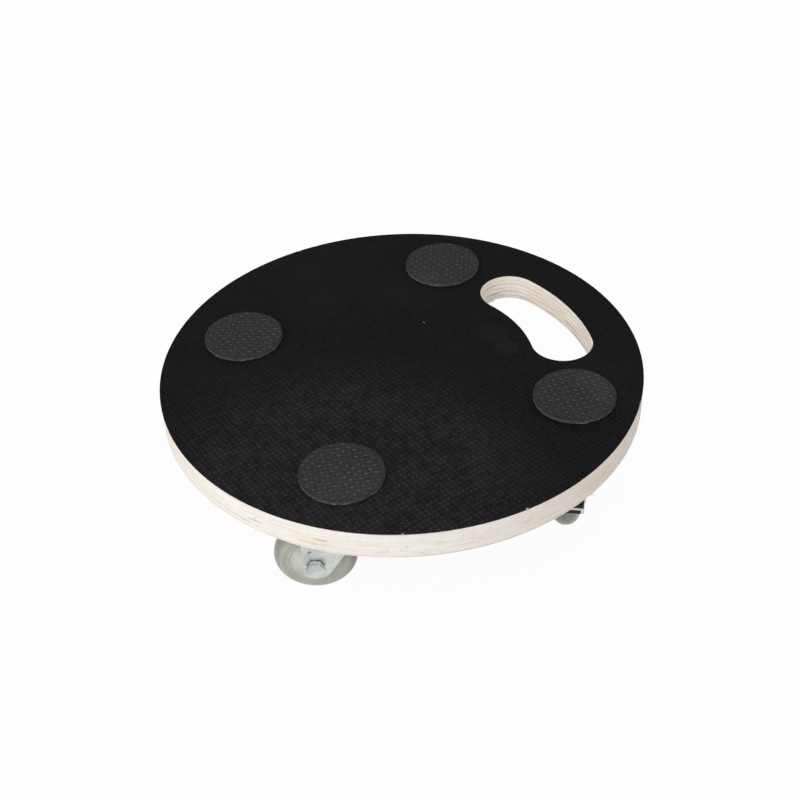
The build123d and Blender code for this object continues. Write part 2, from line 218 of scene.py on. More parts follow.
def new_group(name, inputs, outputs):
    """A node group with its sockets, its inner inputs by name, and a function that fills an output."""
    group = bpy.data.node_groups.new(name, "ShaderNodeTree")
    for title, value in inputs.items():
        kind = "NodeSocketVector" if value is None else "NodeSocketFloat"
        socket = group.interface.new_socket(title, in_out="INPUT", socket_type=kind)
        if value is not None:
            socket.default_value = value
    for title in outputs:
        group.interface.new_socket(title, in_out="OUTPUT", socket_type="NodeSocketFloat")
    start, end = group.nodes.new("NodeGroupInput"), group.nodes.new("NodeGroupOutput")
    return group, start.outputs, lambda title, socket: group.links.new(socket, end.inputs[title])


def make_mottle():
    """A soft cloud and a fine grain added up as one mask, and the grain alone as a height."""
    inputs = {"Vector": None, "Cloud": 40.0, "Grain": 900.0}
    group, given, put = new_group("mottle", inputs, ["Mask", "Height"])
    cloud_share, grain_share = 0.65, 0.35
    cloud = noise(group, given["Vector"], given["Cloud"], 3.0)
    grain = noise(group, given["Vector"], given["Grain"])
    both = sums(group, "MULTIPLY_ADD", cloud, cloud_share, product(group, grain, grain_share))
    put("Mask", spread(group, both, 0.34, 0.66))
    put("Height", grain)
    return group


def make_scratches():
    """Long thin marks: noise drawn out along one turned direction, kept only where it peaks."""
    inputs = {"Vector": None, "Scale": 60.0, "Turn": 0.6, "Amount": 0.5}
    group, given, put = new_group("scratches", inputs, ["Mask"])
    thinness = 26.0
    turned_way = spun(group, given["Vector"], given["Turn"])
    marks = noise(group, turned_way, given["Scale"], 1.0, stretch=(1.0, thinness, thinness))
    put("Mask", product(group, spread(group, marks, 0.66, 0.76), given["Amount"]))
    return group


def make_dust():
    """Dust: strongest where the normal points up, broken up by a cloud, with a few larger specks."""
    inputs = {"Vector": None, "Normal": None, "Amount": 0.3}
    group, given, put = new_group("dust", inputs, ["Film", "Specks"])
    cloud_scale, speck_scale, cells_left_clean = 18.0, 130.0, 0.93
    facing_up = spread(group, parts_of(group, given["Normal"])[2], 0.2, 0.95)
    cloud = noise(group, given["Vector"], cloud_scale, 4.0)
    put("Film", product(group, spread(group, cloud, 0.42, 0.70), facing_up, given["Amount"]))
    cells = wire(group, "ShaderNodeTexVoronoi", {"Vector": given["Vector"], "Scale": speck_scale}).outputs
    dots = spread(group, cells["Distance"], 0.05, 0.03)
    chosen = sums(group, "GREATER_THAN", parts_of(group, cells["Color"])[0], cells_left_clean)
    put("Specks", product(group, dots, chosen, facing_up))
    return group


def make_streak():
    """One mark: the level distance over its reach and the height over its rise are squared and added, a
    noise frays the edge, and what lies inside 1 is the mark."""
    inputs = {"Vector": None, "Centre": None, "Reach": 0.005, "Rise": 0.0005}
    group, given, put = new_group("streak", inputs, ["Mask"])
    fray_scale, fray_flatness, fray_depth = 260.0, 6.0, 2.4
    x, y, z = parts_of(group, vectors(group, "SUBTRACT", given["Vector"], given["Centre"])["Vector"])
    along = sums(group, "DIVIDE", level_reach(group, x, y), given["Reach"])
    up = sums(group, "DIVIDE", z, given["Rise"])
    inside = sums(group, "MULTIPLY_ADD", along, along, product(group, up, up))
    fray = noise(group, given["Vector"], fray_scale, 3.0, stretch=(1.0, 1.0, fray_flatness))
    edge = sums(group, "MULTIPLY_ADD", sums(group, "SUBTRACT", fray, 0.5), fray_depth, inside)
    put("Mask", spread(group, edge, 1.1, 0.1))
    return group


mottle, scratches, dust, streak = make_mottle(), make_scratches(), make_dust(), make_streak()


def effect(tree, group, **fill):
    """Place a shared effect in a material, with its inputs by name, and give its outputs."""
    return wire(tree, "ShaderNodeGroup", fill, node_tree=group).outputs


def felt(tree, uneven, smooth, rough, strength, depth):
    """Roughness and normal from a mottle: its mask goes from smooth to rough, and its grain is bumped."""
    roughness = spread(tree, uneven["Mask"], 0.0, 1.0, smooth, rough)
    return roughness, relief(tree, uneven["Height"], strength, depth)


def mark_at(tree, place, centre, reach, rise):
    """The mask of one mark with its middle at a place."""
    return effect(tree, streak, Vector=place, Centre=centre, Reach=reach, Rise=rise)["Mask"]


print("shared effects:", mottle.name, scratches.name, dust.name, streak.name)

# %% [markdown]
# ## The board and its marks
# The board is a stack of thin veneers, and its grain, its layers and its slot are measured or set here
# first. The sawn wall also has marks of its own, such as resin streaks and pin knots. A random pattern
# would put them anywhere, so they are a short list, each with its tone, place and size.

# %% The board and its marks
ply_count = 11
board_low, board_high = (corner.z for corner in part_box("deck_board"))
ply_height = (board_high - board_low) / ply_count
grain_angle = radians(-40.0)
grain_way = (cos(grain_angle), sin(grain_angle), 0.0)
deck_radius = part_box("deck_board")[1].x
slot_middle, slot_half_width, slot_half_angle = 0.1037, 0.0195, radians(17.86)
mm = 0.001
rim, slot = deck_radius / mm, (slot_middle + slot_half_width) / mm
mark_tones = {
    "orange": (0.66, 0.45, 0.31), "tan": (0.70, 0.55, 0.42), "brown": (0.42, 0.27, 0.19),
    "pink": (0.78, 0.55, 0.50), "knot": (0.30, 0.20, 0.15), "dun": (0.45, 0.36, 0.29),
}
# Tone and strength, angle round the deck in degrees, and in mm the wall's radius, height, reach and rise
wood_marks = [
    ("brown", 0.45, -164.0, rim, 70.5, 13.0, 0.35),
    ("pink", 0.40, -158.8, rim, 69.4, 5.0, 0.9),
    ("dun", 0.75, -153.2, rim, 68.9, 12.5, 0.45),
    ("dun", 0.80, -151.0, rim, 72.3, 6.8, 0.55),
    ("knot", 0.85, -150.7, rim, 74.6, 0.8, 0.5),
    ("dun", 0.95, -134.9, rim, 73.3, 4.6, 0.6),
    ("tan", 0.85, -137.2, rim, 69.2, 10.0, 0.85),
    ("tan", 0.80, -122.0, rim, 69.3, 6.0, 0.5),
    ("knot", 0.45, -116.5, rim, 72.8, 1.2, 0.5),
    ("tan", 0.85, -109.5, rim, 74.8, 4.0, 0.5),
    ("tan", 0.75, -100.0, rim, 74.4, 4.5, 0.4),
    ("tan", 0.75, -90.2, rim, 74.0, 6.0, 0.45),
    ("pink", 0.65, -66.8, rim, 72.7, 3.4, 1.7),
    ("tan", 0.70, 24.0, rim, 70.6, 9.0, 0.5),
    ("orange", 0.75, 78.0, rim, 73.5, 7.0, 0.6),
    ("brown", 0.45, 121.0, rim, 71.6, 11.0, 0.4),
    ("tan", 0.80, 158.0, rim, 70.0, 8.0, 0.6),
    ("orange", 0.85, -2.5, slot, 69.5, 11.0, 0.7),
    ("pink", 0.70, 9.0, slot, 71.2, 12.0, 0.6),
    ("brown", 0.50, -8.0, slot, 66.3, 12.0, 0.45),
    ("tan", 0.35, 14.3, slot, 74.0, 0.7, 5.0),
    ("brown", 0.75, 27.6, 110.2, 69.6, 6.0, 0.55),
    ("pink", 0.70, 24.0, 118.0, 70.9, 9.0, 0.55),
    ("brown", 0.45, 26.8, 113.0, 67.8, 8.0, 0.4),
]
print(ply_count, "layers of", round(ply_height / mm, 2), "mm, with", len(wood_marks), "marks")

# %% [markdown]
# ## Sawn plywood
# The rim and the slot are cut straight through the board, so they show its layers. Where the grain lies
# along the cut a veneer shows long pale streaks, and where it is cut across it shows warmer end grain.
# That needs no picture: height gives the layer number, and the wall's own direction against the grain gives how
# much end grain shows. Thin broken glue lines go between the layers. Inside the slot the wall is painted paler and
# warmer, as painted light, and the distance from the deck's middle tells the slot from the rim.

# %% Sawn plywood
wood_pale, wood_fibre = (0.862, 0.846, 0.800), (0.824, 0.788, 0.730)
end_pale, end_pore = (0.860, 0.775, 0.685), (0.790, 0.670, 0.560)
# The first tone is painted light: it makes the slot's wall paler and warmer than the rim.
slot_light_tone, warm_ply, grey_ply = (0.985, 0.925, 0.845), (0.750, 0.660, 0.575), (0.805, 0.808, 0.738)
hair_tone, fleck_tone, cross_tone = (0.660, 0.550, 0.460), (0.660, 0.520, 0.450), (0.620, 0.460, 0.350)
rose_tone, seam_tone = (0.77, 0.57, 0.45), (0.42, 0.28, 0.19)
ply_drift, ply_apart = 0.0007, 0.37
slot_from, slot_full = deck_radius - 0.010, deck_radius - 0.020
along_wall, flecked, banded = (1.0, 1.0, 8.0), (1.0, 1.0, 2.2), (1.0, 1.0, 12.0)
rose_layer, rose_none, rose_full = 0.36 * ply_count, 3.2, 1.0


def make_plywood():
    """Layer number = floor of the height over the ply's height. Each ply has a tone of its own, noise
    along the wall that jumps at every layer. End grain = the squared cosine between the wall's direction
    and the grain. Long thin noise draws the fibres, and the marks are mixed in one by one."""
    finish, tree, place, normal = new_finish("sawn_plywood")
    x, y, z = parts_of(tree, place)
    drift = sums(tree, "SUBTRACT", noise(tree, place, 22.0), 0.5)
    rise = sums(tree, "MULTIPLY_ADD", drift, ply_drift, sums(tree, "SUBTRACT", z, board_low))
    layer = sums(tree, "DIVIDE", rise, ply_height)
    apart = product(tree, sums(tree, "FLOOR", layer), ply_apart)
    own_place = wire(tree, "ShaderNodeCombineXYZ", {0: x, 1: y, 2: apart}).outputs[0]
    in_slot = spread(tree, level_reach(tree, x, y), slot_from, slot_full)
    across = vectors(tree, "DOT_PRODUCT", normal, grain_way)["Value"]
    across = product(tree, across, across)
    fibres = noise(tree, place, 75.0, 5.0, stretch=along_wall)
    hairs = noise(tree, place, 170.0, 3.0, stretch=along_wall)
    flecks = noise(tree, place, 330.0, 3.0, stretch=flecked)
    pores = noise(tree, place, 1600.0, 3.0)
    tone = noise(tree, own_place, 26.0, 4.0)
    pale = blend(tree, spread(tree, fibres, 0.36, 0.66), wood_pale, wood_fibre)
    end = blend(tree, spread(tree, pores, 0.35, 0.65), end_pale, end_pore)
    every_other = sums(tree, "FRACT", product(tree, layer, 0.5))
    cross_ply = spread(tree, sums(tree, "ABSOLUTE", sums(tree, "SUBTRACT", every_other, 0.5)), 0.26, 0.10)
    shown = spread(tree, noise(tree, own_place, 45.0, 3.0), 0.36, 0.62, 0.10, 0.40)
    shown = product(tree, shown, sums(tree, "MULTIPLY_ADD", in_slot, 1.2, 0.3))
    from_rose = sums(tree, "ABSOLUTE", sums(tree, "SUBTRACT", layer, rose_layer))
    rose = spread(tree, noise(tree, place, 24.0, 4.0, stretch=banded), 0.48, 0.66)
    rose = product(tree, rose, spread(tree, from_rose, rose_none, rose_full), 0.30)
    glue = spread(tree, sums(tree, "PINGPONG", layer, 0.5), 0.13, 0.03)
    broken = spread(tree, noise(tree, own_place, 60.0, 3.0), 0.36, 0.62, 0.05, 0.40)
    broken = product(tree, broken, sums(tree, "MULTIPLY_ADD", in_slot, 1.2, 0.5))
    wood = layered(
        tree, pale,
        (spread(tree, across, 0.10, 0.9, 0.0, 0.8), end),
        # Painted light: the slot's wall is laid paler and warmer.
        (in_slot, 0.8, slot_light_tone),
        (spread(tree, tone, 0.48, 0.66, 0.0, 0.45), warm_ply),
        (spread(tree, tone, 0.46, 0.32, 0.0, 0.65), grey_ply),
        (spread(tree, hairs, 0.58, 0.72, 0.0, 0.20), hair_tone),
        (spread(tree, flecks, 0.55, 0.70, 0.0, 0.30), fleck_tone),
        (cross_ply, shown, cross_tone),
        (rose, rose_tone),
        (glue, broken, seam_tone))
    for mark_tone, strength, degrees, *sizes in wood_marks:
        radius, height, reach, rise = (mm * size for size in sizes)
        centre = (radius * cos(radians(degrees)), radius * sin(radians(degrees)), height)
        mask = mark_at(tree, place, centre, reach, rise)
        wood = layered(tree, wood, (mask, strength, mark_tones[mark_tone]))
    bumps = sums(tree, "MULTIPLY_ADD", glue, -0.6, sums(tree, "ADD", pores, hairs))
    rough = spread(tree, pores, 0.3, 0.7, 0.62, 0.82)
    set_shader(tree, wood, rough, relief(tree, bumps, 0.25, 0.0002), Specular_IOR_Level=0.2)
    return finish


plywood = make_plywood()
print("plywood finish:", plywood.name, "with", len(plywood.node_tree.nodes), "nodes")

# %% [markdown]
# ## Underside veneer
# The underside is the last birch veneer under a clear resin film. Long figure lines run one way along the
# grain, and the film puts an even gloss over them. The gloss is a clear coat on the shader, so the wood
# below can stay rough. Round the edge the film is cut, and its thin wall is pale.

# %% Underside veneer
birch_pale, birch_figure, birch_pore = (0.82, 0.72, 0.58), (0.66, 0.52, 0.37), (0.48, 0.34, 0.22)
birch_cloud, birch_edge = (0.62, 0.45, 0.30), (0.86, 0.82, 0.76)


def make_veneer():
    """Noise drawn out along the grain for the figure, and finer noise of the same kind for the pores."""
    finish, tree, place, normal = new_finish("birch_veneer")
    along = spun(tree, place, -grain_angle)
    figure = noise(tree, along, 16.0, 6.0, stretch=(0.6, 9.0, 9.0))
    pores = noise(tree, along, 220.0, stretch=(0.5, 12.0, 12.0))
    uneven = effect(tree, mottle, Vector=place, Cloud=9.0, Grain=700.0)
    level = sums(tree, "ABSOLUTE", parts_of(tree, normal)[2])
    wood = layered(
        tree, birch_pale,
        (spread(tree, figure, 0.34, 0.68), birch_figure),
        (spread(tree, pores, 0.60, 0.74, 0.0, 0.5), birch_pore),
        (uneven["Mask"], 0.18, birch_cloud),
        (spread(tree, level, 0.9, 0.3), birch_edge))
    rough, grain = spread(tree, pores, 0.3, 0.7, 0.45, 0.62), relief(tree, pores, 0.12, 0.0001)
    set_shader(tree, wood, rough, grain, Coat_Weight=0.35, Coat_Roughness=0.18)
    return finish


veneer = make_veneer()
print("veneer finish:", veneer.name)

# %% [markdown]
# ## Black film
# Anti-slip plywood is faced with a resin film that is pressed against a mesh, which leaves rows of small raised
# dots. The film is nearly black and dull. The flat film and the dots share one recipe, and the dots are a shade
# paler, a painted highlight on their tops. A painted highlight also makes the film and its dots paler towards one
# side of the deck. A speck and two faint smudges are placed one by one. At the rim the saw opens the film: its cut
# edge is brown, with a few pale chips.

# %% Black film
film_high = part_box("top_film")[1]
film_scratch, film_dust, film_speck = (0.03, 0.03, 0.032), (0.15, 0.145, 0.14), (0.35, 0.34, 0.33)
film_edge, film_chip = (0.130, 0.068, 0.040), (0.50, 0.45, 0.39)
# Painted highlight: the film and its dots are paler around this middle and fade over this reach.
sheen_middle, sheen_reach = (-0.085, -0.085, film_high.z), 0.140
chips_from, chips_full = deck_radius - 0.0009, deck_radius - 0.0004
# X and Y of a mark's middle, reach, strength and tone: a pale speck, and smudges beside the grip
film_marks = [
    (0.0332, 0.0309, 0.0009, 0.90, (0.170, 0.160, 0.150)),
    (0.0660, -0.0190, 0.0090, 0.28, (0.022, 0.022, 0.026)),
    (0.0640, 0.0000, 0.0120, 0.22, (0.020, 0.017, 0.018)),
]


def make_film(name, low, high, sheen, gloss, rough):
    """Mottled, near-black resin with scratches and specks. A paler tone is a painted highlight, strongest near one
    side of the deck and fading away from it, and comes and goes from dot to dot. Close to the rim a noise picks
    the chips, and a wall that faces sideways is the brown cut edge."""
    finish, tree, place, normal = new_finish(name)
    x, y, _ = parts_of(tree, place)
    uneven = effect(tree, mottle, Vector=place, Cloud=380.0, Grain=900.0)
    marks = effect(tree, scratches, Vector=place, Scale=45.0, Turn=0.9, Amount=0.10)
    settled = effect(tree, dust, Vector=place, Normal=normal, Amount=0.012)
    # Painted highlight, strongest near one side of the deck and fading with distance.
    away = vectors(tree, "DISTANCE", place, sheen_middle)["Value"]
    painted_sheen = spread(tree, away, sheen_reach, 0.5 * sheen_reach, 0.10, 1.0)
    patchy = spread(tree, noise(tree, place, 260.0), 0.35, 0.62, 0.35, 1.0)
    colour = layered(
        tree, low,
        (uneven["Mask"], high),
        (painted_sheen, patchy, sheen),
        (marks["Mask"], film_scratch))
    for mark_x, mark_y, reach, strength, tone in film_marks:
        mask = mark_at(tree, place, (mark_x, mark_y, film_high.z), reach, reach)
        colour = layered(tree, colour, (mask, strength, tone))
    sideways = spread(tree, parts_of(tree, normal)[2], 0.9, 0.3)
    at_rim = spread(tree, level_reach(tree, x, y), chips_from, chips_full)
    chips = spread(tree, noise(tree, place, 230.0, 3.0), 0.66, 0.70)
    colour = layered(
        tree, colour,
        (settled["Film"], film_dust),
        (settled["Specks"], 0.10, film_speck),
        (sideways, 0.9, film_edge),
        (at_rim, chips, film_chip))
    feel = felt(tree, uneven, rough, rough + 0.14, 0.3, 0.00004)
    set_shader(tree, colour, *feel, Specular_IOR_Level=gloss)
    return finish


film = make_film("black_film", low=(0.0044, 0.0044, 0.0050), high=(0.0080, 0.0080, 0.0090),
                 sheen=(0.0128, 0.0128, 0.0150), gloss=0.012, rough=0.56)
# The dots' tones, paler than the flat film's, are a painted highlight on their tops.
film_dot = make_film("black_film_dots", low=(0.0059, 0.0059, 0.0069), high=(0.0093, 0.0093, 0.0107),
                     sheen=(0.0243, 0.0243, 0.0276), gloss=0.018, rough=0.46)
print("film finishes:", film.name, film_dot.name)

# %% [markdown]
# ## Grip rubber
# The four discs are punched from a rubber sheet with a woven face. The face is a warm dark grey, and the raised
# threads of the weave are paler, a painted highlight. The punched wall is painted paler than the face too, as
# painted light, and a thin pale line of painted highlight runs where it meets the film. The face's own direction
# tells the wall from the top, and the height above the film tells that pale line.

# %% Grip rubber
# The first two tones paint light on the punched wall.
lit_wall_tone, lit_wall_pale = (0.050, 0.047, 0.044), (0.100, 0.094, 0.088)
# The second tone here is a painted highlight along the foot of the wall.
rubber_dust, foot_highlight_tone = (0.20, 0.19, 0.17), (0.30, 0.26, 0.24)
# Heights above the film of that painted highlight line.
highlight_wander, highlight_none, highlight_full = -0.0060, -0.0026, -0.0031


def make_rubber(name, low, high):
    """Warm grey, with the wall painted paler as painted light, and palest, as a painted highlight, on a thin line
    just above the film. That line's height is the height above the film less a noise."""
    finish, tree, place, normal = new_finish(name)
    uneven = effect(tree, mottle, Vector=place, Cloud=560.0, Grain=1300.0)
    settled = effect(tree, dust, Vector=place, Normal=normal, Amount=0.03)
    wall = spread(tree, parts_of(tree, normal)[2], 0.75, 0.25)
    # Painted light: the wall is laid paler than the face.
    cut = blend(tree, uneven["Mask"], lit_wall_tone, lit_wall_pale)
    rise = sums(tree, "SUBTRACT", parts_of(tree, place)[2], film_high.z)
    ragged = sums(tree, "MULTIPLY_ADD", noise(tree, place, 240.0, 3.0), highlight_wander, rise)
    # Painted highlight: a thin pale line at the foot of the wall, just above the film.
    glue = product(tree, spread(tree, ragged, highlight_none, highlight_full), wall, 0.7)
    colour = layered(
        tree, low,
        (uneven["Mask"], high),
        (wall, cut),
        (settled["Film"], rubber_dust),
        (glue, foot_highlight_tone))
    feel = felt(tree, uneven, 0.72, 0.90, 0.5, 0.00012)
    set_shader(tree, colour, *feel, Specular_IOR_Level=0.12)
    return finish


# The two thread finishes are paler than the face: a painted highlight, strongest on the warp.
rubber = make_rubber("grip_rubber", (0.0100, 0.0094, 0.0087), (0.0290, 0.0271, 0.0252))
warp_highlight = make_rubber("grip_rubber_warp_highlight", (0.0250, 0.0234, 0.0217), (0.0770, 0.0719, 0.0668))
weft_highlight = make_rubber("grip_rubber_weft_highlight", (0.0135, 0.0126, 0.0117), (0.0440, 0.0411, 0.0381))
print("rubber finishes:", rubber.name, warp_highlight.name, weft_highlight.name)

# %% [markdown]
# ## Zinc plating
# The plates, forks and levers are pressed from steel sheet and then zinc plated, which gives a pale, slightly blue
# metal with a soft haze and fine drawing marks from the press. A mirror-like metal would look like chrome, so the
# haze drives both the colour and the roughness. Each leg of a fork has a small dimple above the axle, and a small
# dark spot of painted shade sits on it, placed from the wheel's joint.

# %% Zinc plating
# The last tone is painted shade: a small dark spot on the dimple in each fork leg.
press_tone, zinc_dust, dimple_shade_tone = (0.42, 0.43, 0.42), (0.45, 0.43, 0.40), (0.30, 0.30, 0.29)
leg_outside, dimple_back, dimple_up, dimple_radius = 0.0120, 0.0028, 0.0112, 0.0016


def dimple_places():
    """A place on each leg: out from the axle along its axis, back along the trail and up."""
    up = Vector((0, 0, 1))
    for roll in axles.values():
        axis = Vector(roll["axis"])
        above = Vector(roll["pos_m"]) + dimple_back * axis.cross(up) + dimple_up * up
        yield from (above + side * leg_outside * axis for side in (-1, 1))


def make_zinc(name, pale, dull, rough, mark_turn, dimples=()):
    """Pale metal: a cloud between two tints, rougher where dull, with press marks and a small dark spot of painted
    shade at each place given.
    """
    finish, tree, place, normal = new_finish(name)
    haze = effect(tree, mottle, Vector=place, Cloud=110.0, Grain=2200.0)
    marks = effect(tree, scratches, Vector=place, Scale=150.0, Turn=mark_turn, Amount=0.5)
    settled = effect(tree, dust, Vector=place, Normal=normal, Amount=0.25)
    colour = layered(
        tree, pale,
        (haze["Mask"], dull),
        (marks["Mask"], press_tone),
        (settled["Film"], zinc_dust))
    # Painted shade: a small dark spot on each dimple.
    for dimple in dimples:
        dimple_shade = mark_at(tree, place, dimple, dimple_radius, dimple_radius)
        colour = blend(tree, dimple_shade, colour, dimple_shade_tone)
    haze_rough, grain = felt(tree, haze, rough, rough + 0.16, 0.2, 0.00003)
    marked_rough = sums(tree, "MULTIPLY_ADD", marks["Mask"], 0.15, haze_rough)
    set_shader(tree, colour, marked_rough, grain, Metallic=1.0)
    return finish


zinc = make_zinc("zinc_pressing", (0.69, 0.72, 0.69), (0.57, 0.59, 0.56), 0.30, 0.4, list(dimple_places()))
fastener = make_zinc("zinc_fastener", (0.66, 0.69, 0.69), (0.52, 0.54, 0.53), 0.24, 1.3)
ball_steel = make_zinc("ball_steel", (0.72, 0.72, 0.74), (0.66, 0.66, 0.68), 0.10, 0.9)
print("metal finishes:", zinc.name, fastener.name, ball_steel.name)

# %% [markdown]
# ## Smoky wheels
# The wheels are moulded from a cloudy, slightly green plastic. Plain glass would be too sharp and a plain
# diffuse colour too chalky. Part of the light goes through, roughly, and the rest is scattered by the
# cloudy base colour. A soft cloud in the colour and the roughness gives the uneven haze of the moulding.
# The tread is painted darker than the face, as painted shade, and painted shade also gathers at the feet of the
# moulded rings. The mesh carries each point's distance from the axle to tell where that is.

# %% Smoky wheels
wheel_radius, ring_first, ring_step, ring_count = 0.025, 0.0163, 0.0016, 3
ring_last = ring_first + (ring_count - 1) * ring_step
# Shares of the painted shade in its two steps, over the face and onto the tread.
tread_start, face_share, tread_share = wheel_radius - 0.001, 0.46, 0.54
# The second tone is painted shade on the tread.
face_tone, tread_shade_tone = (0.80, 0.81, 0.71), (0.29, 0.285, 0.25)
# The first tone is painted shade at the feet of the rings.
ring_foot_shade, blotch_tone = (0.17, 0.18, 0.15), (0.34, 0.34, 0.29)


def make_smoky():
    """Rough, tinted transmission over a cloudy base. Its tint goes in two steps from the face's to the tread's
    painted shade with the distance from the axle, has painted shade at the foot of each ring, and wanders a little
    everywhere."""
    finish, tree, place, _ = new_finish("smoky_wheel")
    uneven = effect(tree, mottle, Vector=place, Cloud=120.0, Grain=1500.0)
    from_axle = wire(tree, "ShaderNodeAttribute", attribute_name="from_axle").outputs["Fac"]
    # Painted shade, growing in two steps from the face onto the tread.
    tread_shade = sums(tree, "ADD", spread(tree, from_axle, 0.5 * ring_first, ring_last, 0.0, face_share),
                 spread(tree, from_axle, ring_last, tread_start, 0.0, tread_share))
    ring = sums(tree, "DIVIDE", sums(tree, "SUBTRACT", from_axle, ring_first), ring_step)
    # Painted shade at the foot of each ring.
    foot = spread(tree, sums(tree, "PINGPONG", ring, 0.5), 0.26, 0.44)
    inner, outer = spread(tree, ring, -0.9, -0.7), spread(tree, ring, ring_count - 0.1, ring_count - 0.3)
    colour = layered(
        tree, face_tone,
        (tread_shade, tread_shade_tone),
        (foot, inner, outer, 0.16, ring_foot_shade),
        (uneven["Mask"], 0.30, blotch_tone))
    feel = felt(tree, uneven, 0.18, 0.30, 0.15, 0.00005)
    set_shader(tree, colour, *feel, Transmission_Weight=0.24, IOR=1.45, Specular_IOR_Level=0.4)
    return finish


smoky_wheel = make_smoky()
print("wheel finish:", smoky_wheel.name)

# %% [markdown]
# ## Black plastic and shoe rubber
# The pedal's tread is a moulded black plastic and the brake shoe a block of black rubber. Both are dark,
# so what tells them apart is the gloss: the tread is satin and scuffed by feet, and the shoe is dull.

# %% Black plastic and shoe rubber
scuff_tone, paler = (0.12, 0.12, 0.12), 1.8


def make_black(name, tone, rough, gloss, scuff):
    """Dark moulding with scuffs that are paler than the rest."""
    finish, tree, place, _ = new_finish(name)
    uneven = effect(tree, mottle, Vector=place, Cloud=200.0, Grain=2500.0)
    marks = effect(tree, scratches, Vector=place, Scale=120.0, Turn=0.2, Amount=scuff)
    colour = layered(
        tree, tone,
        (uneven["Mask"], [paler * part for part in tone]),
        (marks["Mask"], scuff_tone))
    feel = felt(tree, uneven, rough, rough + 0.15, 0.3, 0.00005)
    set_shader(tree, colour, *feel, Specular_IOR_Level=gloss)
    return finish


black_plastic = make_black("black_plastic", (0.009, 0.009, 0.009), rough=0.38, gloss=0.25, scuff=0.5)
shoe_rubber = make_black("shoe_rubber", (0.010, 0.010, 0.010), rough=0.75, gloss=0.15, scuff=0.2)
print("black finishes:", black_plastic.name, shoe_rubber.name)

# %% [markdown]
# ## Dress the CAD nodes
# Every CAD node keeps its shape and takes one of the finishes above. The record says which material slot
# each node has, so a table from slot to finish dresses all of them at once.

# %% Dress the CAD nodes
finishes = {
    "plywood": plywood, "film": film, "back_film": veneer, "grip_rubber": rubber, "zinc_steel": zinc,
    "fastener_steel": fastener, "ball_steel": ball_steel, "clear_tyre": smoky_wheel,
    "clear_core": smoky_wheel, "black_plastic": black_plastic, "shoe_rubber": shoe_rubber,
}
subparts = frame["record"]["subparts"]
for subpart in subparts:
    mesh = nodes[subpart["node"]].data
    mesh.materials.clear()
    mesh.materials.append(finishes[subpart["material_slot"]])
print("dressed", len(subparts), "nodes in", len(finishes), "slots")

# %% [markdown]
# ## Making pieces from arrays
# All new pieces are surfaces worked out with numpy: points and triangles as whole arrays, put into the
# mesh in one go. Two forms are enough for this dolly. A turned form spins a profile about an axis, like a
# lathe, and a scattered form copies one small dome to many places. A mesh from Blender's primitives would
# need the same sums to place it.

# %% Making pieces from arrays
crease = radians(35.0)


def new_piece(name, points, faces, finish, body):
    """A mesh piece on a body, from point and triangle arrays, smooth up to the crease angle."""
    mesh = bpy.data.meshes.new(name)
    mesh.vertices.add(len(points))
    mesh.vertices.foreach_set("co", np.asarray(points, np.float32).ravel())
    mesh.loops.add(faces.size)
    mesh.loops.foreach_set("vertex_index", np.asarray(faces, np.int32).ravel())
    mesh.polygons.add(len(faces))
    mesh.polygons.foreach_set("loop_start", np.arange(0, faces.size, 3, dtype=np.int32))
    mesh.polygons.foreach_set("use_smooth", np.ones(len(faces), bool))
    mesh.update(calc_edges=True)
    mesh.set_sharp_from_angle(angle=crease)
    mesh.materials.append(finish)
    piece = placed(name, mesh)
    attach(piece, body)
    print(name, "has", len(faces), "triangles")
    return piece


def outward(points, faces):
    """Triangles that face outwards: a closed surface with a signed volume below zero is inside out."""
    a, b, c = points[faces].transpose(1, 0, 2)
    return faces if np.einsum("ij,ij->", a, np.cross(b, c)) > 0 else faces[:, ::-1]


def turned(profile, segments, wobble=0.0):
    """A profile of (radius, height) points spun about Z: x = r cos a, y = r sin a, z = height, with the
    wobble added to r. A profile point on the axis becomes one pole. A profile that keeps off the axis
    closes into a ring."""
    profile = np.asarray(profile, float)
    angle = np.linspace(0, 2 * pi, segments, endpoint=False)
    radius = np.broadcast_to(profile[:, :1] + wobble, (len(profile), segments))
    height = np.broadcast_to(profile[:, 1:], radius.shape)
    points = np.stack([radius * np.cos(angle), radius * np.sin(angle), height], 2).reshape(-1, 3)
    index = np.arange(radius.size).reshape(radius.shape)
    poles = profile[:, 0] == 0
    index[poles] = index[poles][:, :1]
    after = np.roll(index, -1, axis=1)
    rows = slice(None, -1) if poles.any() else slice(None)
    above, above_after = np.roll(index, -1, axis=0)[rows], np.roll(after, -1, axis=0)[rows]
    below, below_after = index[rows], after[rows]
    lower, upper = (below, below_after, above_after), (below, above_after, above)
    faces = np.concatenate([np.stack(lower, 2), np.stack(upper, 2)]).reshape(-1, 3)
    whole = (faces != np.roll(faces, 1, axis=1)).all(axis=1)
    used, faces = np.unique(faces[whole], return_inverse=True)
    return points[used], outward(points[used], faces.reshape(-1, 3))


def dome(segments, sink):
    """A unit dome with a closed foot: height = 1 - radius squared on a ring at half radius, and the outer
    ring sunk by a share of the height."""
    profile = [(0, 1), (0.5, 0.75), (1, -sink), (0, -sink)]
    return turned(profile, segments)


def scatter(template, faces, places, turns, size, base):
    """Copies of a template: scaled, turned about Z, moved to each place and stood on a base height."""
    scaled = template * np.array(size)
    c, s = np.cos(turns)[:, None], np.sin(turns)[:, None]
    x = c * scaled[:, 0] - s * scaled[:, 1] + places[:, :1]
    y = s * scaled[:, 0] + c * scaled[:, 1] + places[:, 1:2]
    z = np.broadcast_to(scaled[:, 2] + base, x.shape)
    shifted = faces[None] + (len(template) * np.arange(len(places)))[:, None, None]
    return np.stack([x, y, z], 2).reshape(-1, 3), shifted.reshape(-1, 3)


